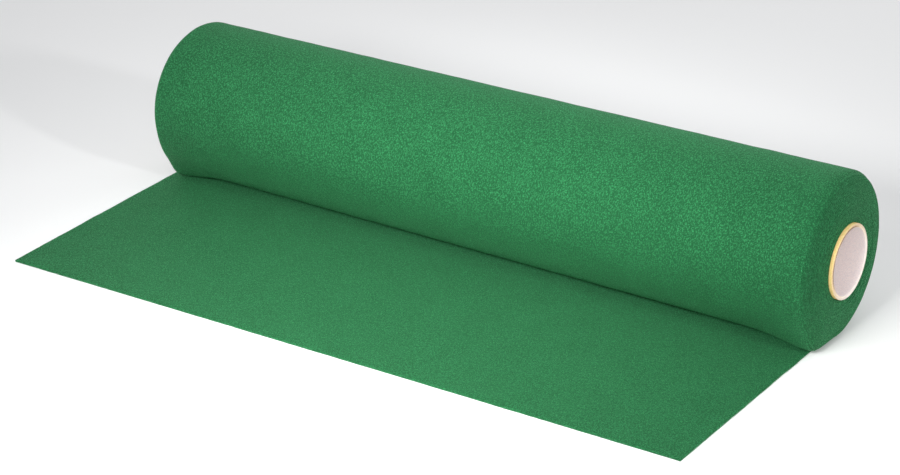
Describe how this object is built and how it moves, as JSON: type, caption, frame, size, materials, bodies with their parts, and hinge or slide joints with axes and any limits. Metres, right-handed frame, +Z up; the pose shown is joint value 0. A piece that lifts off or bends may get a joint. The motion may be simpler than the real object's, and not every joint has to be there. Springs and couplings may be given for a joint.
{
  "type": "roll of felt",
  "caption": "Roll of plain green craft felt wound on a hollow cardboard tube, with its loose end unrolled flat in front.",
  "frame": {"origin": "on the surface that the roll rests on, under the tube's axis, at the middle of the felt's width", "axes": "+X along the roll's axis towards the end where the tube shows, the loose end lies towards -Y, +Z up"},
  "size_m": [0.4635, 0.2244, 0.097],
  "materials": {
    "felt": "matte green needled felt with a short fibre nap",
    "cardboard": "buff spiral-wound paper tube, pinkish grey board inside"
  },
  "bodies": {
    "root": {"felt": "felt", "core": "cardboard"}
  },
  "joints": []
}
